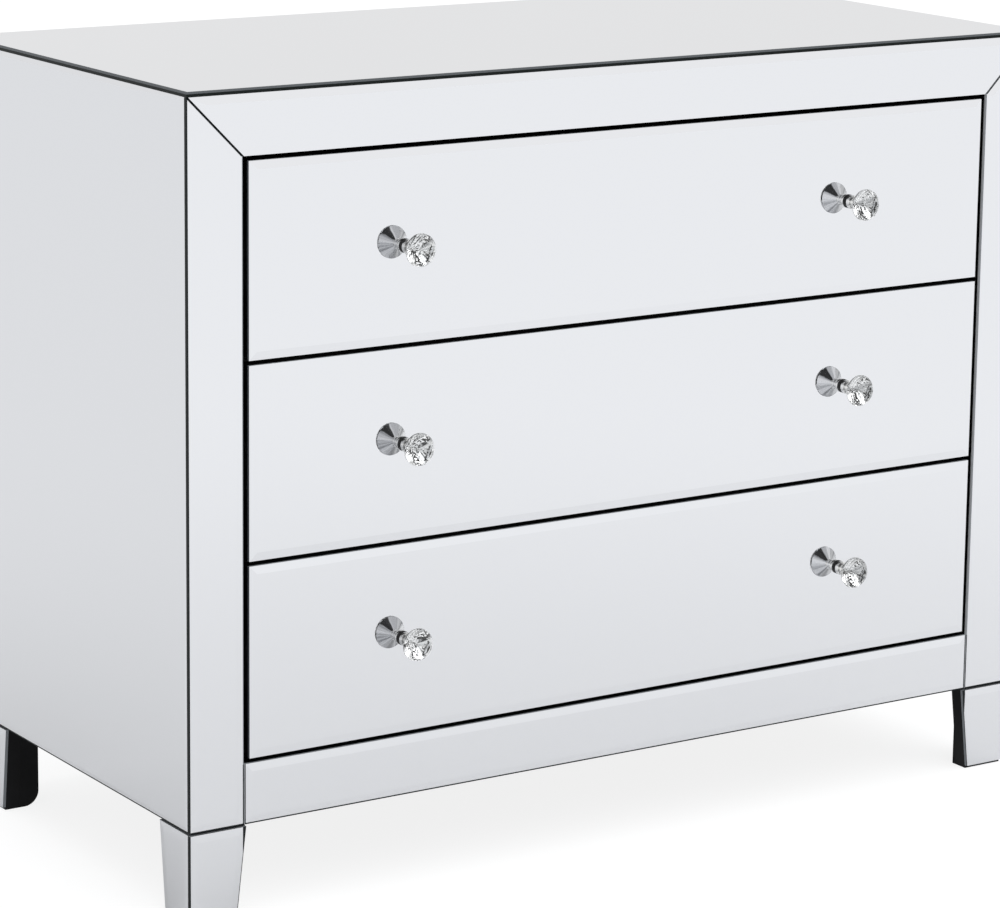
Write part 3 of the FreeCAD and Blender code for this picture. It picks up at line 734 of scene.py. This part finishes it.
turned_bases = spread("turned_bases", knob_base(knob_feet[0]), knob_feet)
choose_only(turned_bases)
bpy.ops.object.shade_smooth_by_angle(angle=BASE_SMOOTHING)
on_each_drawer(turned_bases, "knob_chrome", "knob_bases")
cut_crystals = spread("cut_crystals", crystal(knob_feet[0] + cup_rim), knob_feet)
on_each_drawer(cut_crystals, "crystal", "knob_crystals")
knob_screw = cross_screw(knob_feet[0] + board_back, TOWARDS_BACK, KNOB_SCREW)
on_each_drawer(spread("pan_screws", knob_screw, knob_feet), "screw_steel", "knob_screws")


# ---------------------------------------------------------------- drawer boxes and runners

BOARD_ROUND = 0.9 * MM
STEEL_ROUND = 0.35 * MM
RUNNER_STEEL = 1.2 * MM
RUNNER_SCREWS = (38 * MM, 182 * MM, 362 * MM)
LEVER_ALONG = 122 * MM
LEVER_SIZE = Vector((2.4, 62, 7)) * MM
LEVER_ROUND = 0.7 * MM
# The lever's upper face falls towards the viewer from a point before its middle, by this slope.
LEVER_FALL = -0.12
LEVER_FALL_BEGINS = -0.3 * LEVER_SIZE.y


def release_lever(web, outward):
    """The thin plastic tongue in a runner that lets its drawer be lifted off."""
    lever = bar("lever", web + Vector((outward * LEVER_SIZE.x / 2, 0, 0)), LEVER_SIZE)
    bpy.ops.object.mode_set(mode="EDIT")
    bpy.ops.mesh.select_all(action="SELECT")
    fall_from = web + Vector((0, LEVER_FALL_BEGINS, LEVER_SIZE.z / 2))
    bpy.ops.mesh.bisect(plane_co=fall_from, plane_no=(0, LEVER_FALL, 1), use_fill=True, clear_outer=True)
    bpy.ops.object.mode_set(mode="OBJECT")
    eased(lever, LEVER_ROUND)
    return lever


runner_low, runner_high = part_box("drawer_runners_upper")
runner_height = (runner_low.z + runner_high.z) / 2
for side, outward in SIDES:
    web = outward * (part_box("drawer_sides_upper")[1].x + RUNNER_STEEL)
    seats = [Vector((web, runner_low.y + along, runner_height)) for along in RUNNER_SCREWS]
    screw = cross_screw(seats[0], Vector((outward, 0, 0)), RUNNER_SCREW)
    runner_screws = spread("runner_screws_" + side, screw, seats)
    on_each_drawer(runner_screws, "screw_steel", "drawer_runners", replaces=False)
    lever = release_lever(Vector((web, runner_low.y + LEVER_ALONG, runner_height)), outward)
    lever.name = "release_lever_" + side
    on_each_drawer(lever, "black_washer", "drawer_runners", replaces=False)

for drawer in DRAWERS:
    body = "drawer_" + drawer
    follower = "runners_" + drawer
    softened("drawer_sides_" + drawer, "box_sides_" + drawer, body, "drawer_board", BOARD_ROUND)
    softened("drawer_back_" + drawer, "box_back_" + drawer, body, "drawer_board", BOARD_ROUND)
    softened("drawer_runners_" + drawer, "drawer_rails_" + drawer, body, "runner_steel", STEEL_ROUND)
    softened("middle_runners_" + drawer, "middle_rails_" + drawer, follower, "runner_steel", STEEL_ROUND)
softened("cabinet_runners", "cabinet_rails", "carcass", "runner_steel", STEEL_ROUND)


# ---------------------------------------------------------------- side glass and back

SIDE_BEVEL = 5 * MM
SIDE_BEVEL_DROP = 0.6 * MM
PANEL_BORDER = 9 * MM
SCREWS_ACROSS = 6
SCREWS_UP = 5

for side, outward in SIDES:
    bevelled_pane("side_mirror_" + side, "bevelled_side_" + side, outward, SIDE_BEVEL, SIDE_BEVEL_DROP)

panel_low, panel_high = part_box("back_panel")
first_spot = Vector((panel_low.x + PANEL_BORDER, panel_high.y, panel_low.z + PANEL_BORDER))
across_step = (panel_high.x - panel_low.x - 2 * PANEL_BORDER) / (SCREWS_ACROSS - 1)
up_step = (panel_high.z - panel_low.z - 2 * PANEL_BORDER) / (SCREWS_UP - 1)
panel_spots = [
    first_spot + Vector((column * across_step, 0, row * up_step))
    for column in range(SCREWS_ACROSS) for row in range(SCREWS_UP)
    if column in (0, SCREWS_ACROSS - 1) or row in (0, SCREWS_UP - 1)
]
panel = softened("back_panel", "screwed_back", "carcass", "lacquered_board", STEEL_ROUND)
sink = turned("sink", panel_spots[0], TOWARDS_BACK, PANEL_SINK, SCREW_SIDES)
carved(panel, spread("sinks", sink, panel_spots))
panel_screw = cross_screw(panel_spots[0], TOWARDS_BACK, PANEL_SCREW)
finished(spread("panel_screws", panel_screw, panel_spots), "carcass", "screw_steel")


# ---------------------------------------------------------------- studio

FLOOR = "#E6E7E8"
FLOOR_SEEN = "#868788"
FLOOR_SIZE = 60.0
GLOW_SEEN = 0.85
GLOW_MIRRORED = 0.16
# The floor's tone in the mirrors, which is painted shade, and the places between which it changes: on a
# slanting line from behind the chest to before it, darker behind, and in a ring round the chest, a
# painted shadow near it.
BRIGHTER_TOWARDS = (0.6, -0.8, 0.0)
FLOOR_BEHIND_PAINTED_SHADE = 0.87
FLOOR_AHEAD = 1.0
BEHIND_ENDS = -0.8
AHEAD_BEGINS = 2.3
FLOOR_NEAR_PAINTED_SHADOW = 0.95
FLOOR_AWAY = 1.0
NEAR_ENDS = 0.4
AWAY_BEGINS = 2.2
# What a crystal sees in the floor: panes of this size, a share of them dark, and how dark.
FLOOR_PANE = 0.45
DARK_PANES = 0.15
DARK_PANE_TONE = 0.08

WHITE = "#FFFFFF"
WORLD_LIGHT = 0.58
# The sky's tones in the mirrors, each in full for a look that points this far ahead or behind.
SKY_AHEAD = 0.93
SKY_BEHIND = 0.82
SKY_FALL = 0.6
# The dark flag over the camera: where it hangs, how dark it is, and its inner and outer angle.
FLAG_TOWARDS = Vector((0.0, -0.78, 0.62)).normalized()
FLAG_TONE = 0.07
FLAG_INNER = math.radians(18)
FLAG_OUTER = math.radians(26)
# What a crystal sees in the sky: how fine its panes are, and the share at which each tone begins.
SKY_PANES = 6.0
SKY_TONES = ((0.0, 0.02), (0.38, 1.0), (0.8, 1.3))

# The lamps overhead: how wide their light comes in, how strong, and how they lean over the chest.
BANK_SPREAD = math.radians(70)
BANK_STRENGTH = 1.4
BANK_TILT = (math.radians(20), math.radians(12), 0)


def studio_floor():
    """A pale floor that fades to white for the camera, and that the mirrors see a little deeper
    in tone near the chest and behind it: a painted shadow round the chest and a painted falloff of light."""
    bpy.ops.object.select_all(action="DESELECT")
    bpy.ops.mesh.primitive_plane_add(size=FLOOR_SIZE, location=(0, 0, cad_box[0].z))
    floor = bpy.context.object
    floor.name = "studio_floor"
    material = bpy.data.materials.new("pale_floor")
    material.use_nodes = True
    tree = material.node_tree
    tree.nodes.clear()
    rays = add(tree, "LightPath")
    camera_ray = rays.outputs["Is Camera Ray"]
    through = rays.outputs["Is Transmission Ray"]
    mirrored = add(tree, "Math", {0: rays.outputs["Is Glossy Ray"], 1: through}, operation="MAXIMUM")
    place = add(tree, "TexCoord").outputs["Object"]
    # Painted shade for the mirrors: darker behind the chest, and a painted shadow in a ring round it.
    along = add(tree, "VectorMath", {0: place, 1: BRIGHTER_TOWARDS}, operation="DOT_PRODUCT")
    painted_falloff = add(
        tree, "MapRange",
        {"Value": along, "From Min": BEHIND_ENDS, "From Max": AHEAD_BEGINS,
         "To Min": FLOOR_BEHIND_PAINTED_SHADE, "To Max": FLOOR_AHEAD},
        interpolation_type="SMOOTHSTEP",
    )
    distance = add(tree, "VectorMath", {0: place}, operation="LENGTH")
    near = add(
        tree, "MapRange",
        {"Value": distance, "From Min": NEAR_ENDS, "From Max": AWAY_BEGINS,
         "To Min": FLOOR_NEAR_PAINTED_SHADOW, "To Max": FLOOR_AWAY},
        interpolation_type="SMOOTHSTEP",
    )
    tone = add(tree, "Math", {0: painted_falloff, 1: near}, operation="MULTIPLY")
    panes = add(tree, "TexVoronoi", {"Vector": place, "Scale": 1 / FLOOR_PANE})
    pane = add(tree, "SeparateColor", {0: panes.outputs["Color"]})
    lit_pane = add(tree, "Math", {0: pane, 1: DARK_PANES}, operation="GREATER_THAN")
    unbroken = add(tree, "Math", {0: 1.0, 1: through}, operation="SUBTRACT")
    spark = add(tree, "Math", {0: lit_pane, 1: unbroken}, operation="MAXIMUM")
    spark = add(tree, "Math", {0: spark, 1: DARK_PANE_TONE}, operation="MAXIMUM")
    share = add(tree, "Math", {0: tone, 1: spark}, operation="MULTIPLY")
    share = add(tree, "Math", {0: share, 1: mirrored}, operation="MULTIPLY")
    plain = add(tree, "Math", {0: 1.0, 1: mirrored}, operation="SUBTRACT")
    depth = add(tree, "Math", {0: share, 1: plain}, operation="ADD")
    shade = add(
        tree, "Mix", {0: camera_ray, 6: colour(FLOOR), 7: colour(FLOOR_SEEN)}, data_type="RGBA",
    )
    shade = add(tree, "VectorMath", {0: shade, "Scale": depth}, operation="SCALE")
    glow = add(tree, "Math", {0: camera_ray, 1: GLOW_SEEN}, operation="MULTIPLY")
    glow = add(tree, "Math", {0: share, 1: GLOW_MIRRORED, 2: glow}, operation="MULTIPLY_ADD")
    lit = add(tree, "BsdfDiffuse", {"Color": shade})
    emission = add(tree, "Emission", {"Strength": glow})
    both = add(tree, "AddShader", {0: lit, 1: emission})
    add(tree, "OutputMaterial", {"Surface": both})
    floor.data.materials.append(material)


def studio_world():
    """White all round for the camera. Mirrors see it brightest in front, with one dark flag high
    over the camera, and the crystals see it broken up as a studio's lamps and stands break it."""
    world = bpy.data.worlds.new("studio")
    world.use_nodes = True
    tree = world.node_tree
    tree.nodes.clear()
    rays = add(tree, "LightPath")
    camera_ray = rays.outputs["Is Camera Ray"]
    through = rays.outputs["Is Transmission Ray"]
    seen = add(tree, "Math", {0: camera_ray, 1: rays.outputs["Is Glossy Ray"]}, operation="MAXIMUM")
    seen = add(tree, "Math", {0: seen, 1: through}, operation="MAXIMUM")
    looks = add(tree, "TexCoord").outputs["Generated"]
    axes = add(tree, "SeparateXYZ", {0: looks})
    sky = add(
        tree, "MapRange",
        {"Value": axes.outputs["Y"], "From Min": -SKY_FALL, "From Max": SKY_FALL,
         "To Min": SKY_AHEAD, "To Max": SKY_BEHIND},
        interpolation_type="SMOOTHSTEP",
    )
    towards = add(tree, "VectorMath", {0: looks, 1: FLAG_TOWARDS}, operation="DOT_PRODUCT")
    flag = add(
        tree, "MapRange",
        {"Value": towards, "From Min": math.cos(FLAG_OUTER), "From Max": math.cos(FLAG_INNER),
         "To Min": 1.0, "To Max": FLAG_TONE},
        interpolation_type="SMOOTHSTEP",
    )
    mirrored = add(tree, "Math", {0: sky, 1: flag}, operation="MULTIPLY")
    panes = add(tree, "TexVoronoi", {"Vector": looks, "Scale": SKY_PANES})
    pane = add(tree, "SeparateColor", {0: panes.outputs["Color"]})
    spark = add(tree, "ValToRGB", {0: pane})
    ramp = spark.color_ramp
    ramp.interpolation = "CONSTANT"
    ramp.elements.remove(ramp.elements[1])
    for number, (begins, tone) in enumerate(SKY_TONES):
        stop = ramp.elements.new(begins) if number else ramp.elements[0]
        stop.color = (tone, tone, tone, 1)
    level = add(tree, "Mix", {0: through, 2: mirrored, 3: spark}, data_type="FLOAT")
    level = add(tree, "Math", {0: level, 1: camera_ray}, operation="MAXIMUM")
    level = add(tree, "Mix", {0: seen, 2: WORLD_LIGHT, 3: level}, data_type="FLOAT")
    background = add(tree, "Background", {"Color": colour(WHITE), "Strength": level})
    add(tree, "OutputWorld", {"Surface": background})
    bpy.context.scene.world = world


def overhead_bank():
    """One broad soft bank of lamps overhead, that no mirror shows."""
    lamp = bpy.data.lights.new("overhead_bank", "SUN")
    lamp.angle = BANK_SPREAD
    lamp.energy = BANK_STRENGTH
    bank = bpy.data.objects.new("overhead_bank", lamp)
    bank.visible_glossy = False
    bank.rotation_euler = BANK_TILT
    bpy.context.scene.collection.objects.link(bank)


studio_floor()
studio_world()
overhead_bank()


# ---------------------------------------------------------------- camera

# Off the chest's left front corner and above its top, looking a little down.
CAMERA_PLACE = (-2.1701, -3.3053, 1.2772)
CAMERA_YAW = math.radians(33.137)
CAMERA_PITCH = math.radians(11.65)
CAMERA_ROLL = math.radians(0.678)

camera_data = bpy.data.cameras.new("camera")
camera_data.sensor_width = 36
camera_data.lens = 140.08
camera_data.shift_y = -0.10
camera_data.clip_end = 100
camera = bpy.data.objects.new("camera", camera_data)
bpy.context.scene.collection.objects.link(camera)
turn = (
    Matrix.Rotation(-CAMERA_YAW, 4, "Z")
    @ Matrix.Rotation(math.pi / 2 - CAMERA_PITCH, 4, "X")
    @ Matrix.Rotation(CAMERA_ROLL, 4, "Z")
)
camera.matrix_world = Matrix.Translation(CAMERA_PLACE) @ turn
bpy.context.scene.camera = camera
bpy.context.scene.view_settings.view_transform = "Standard"
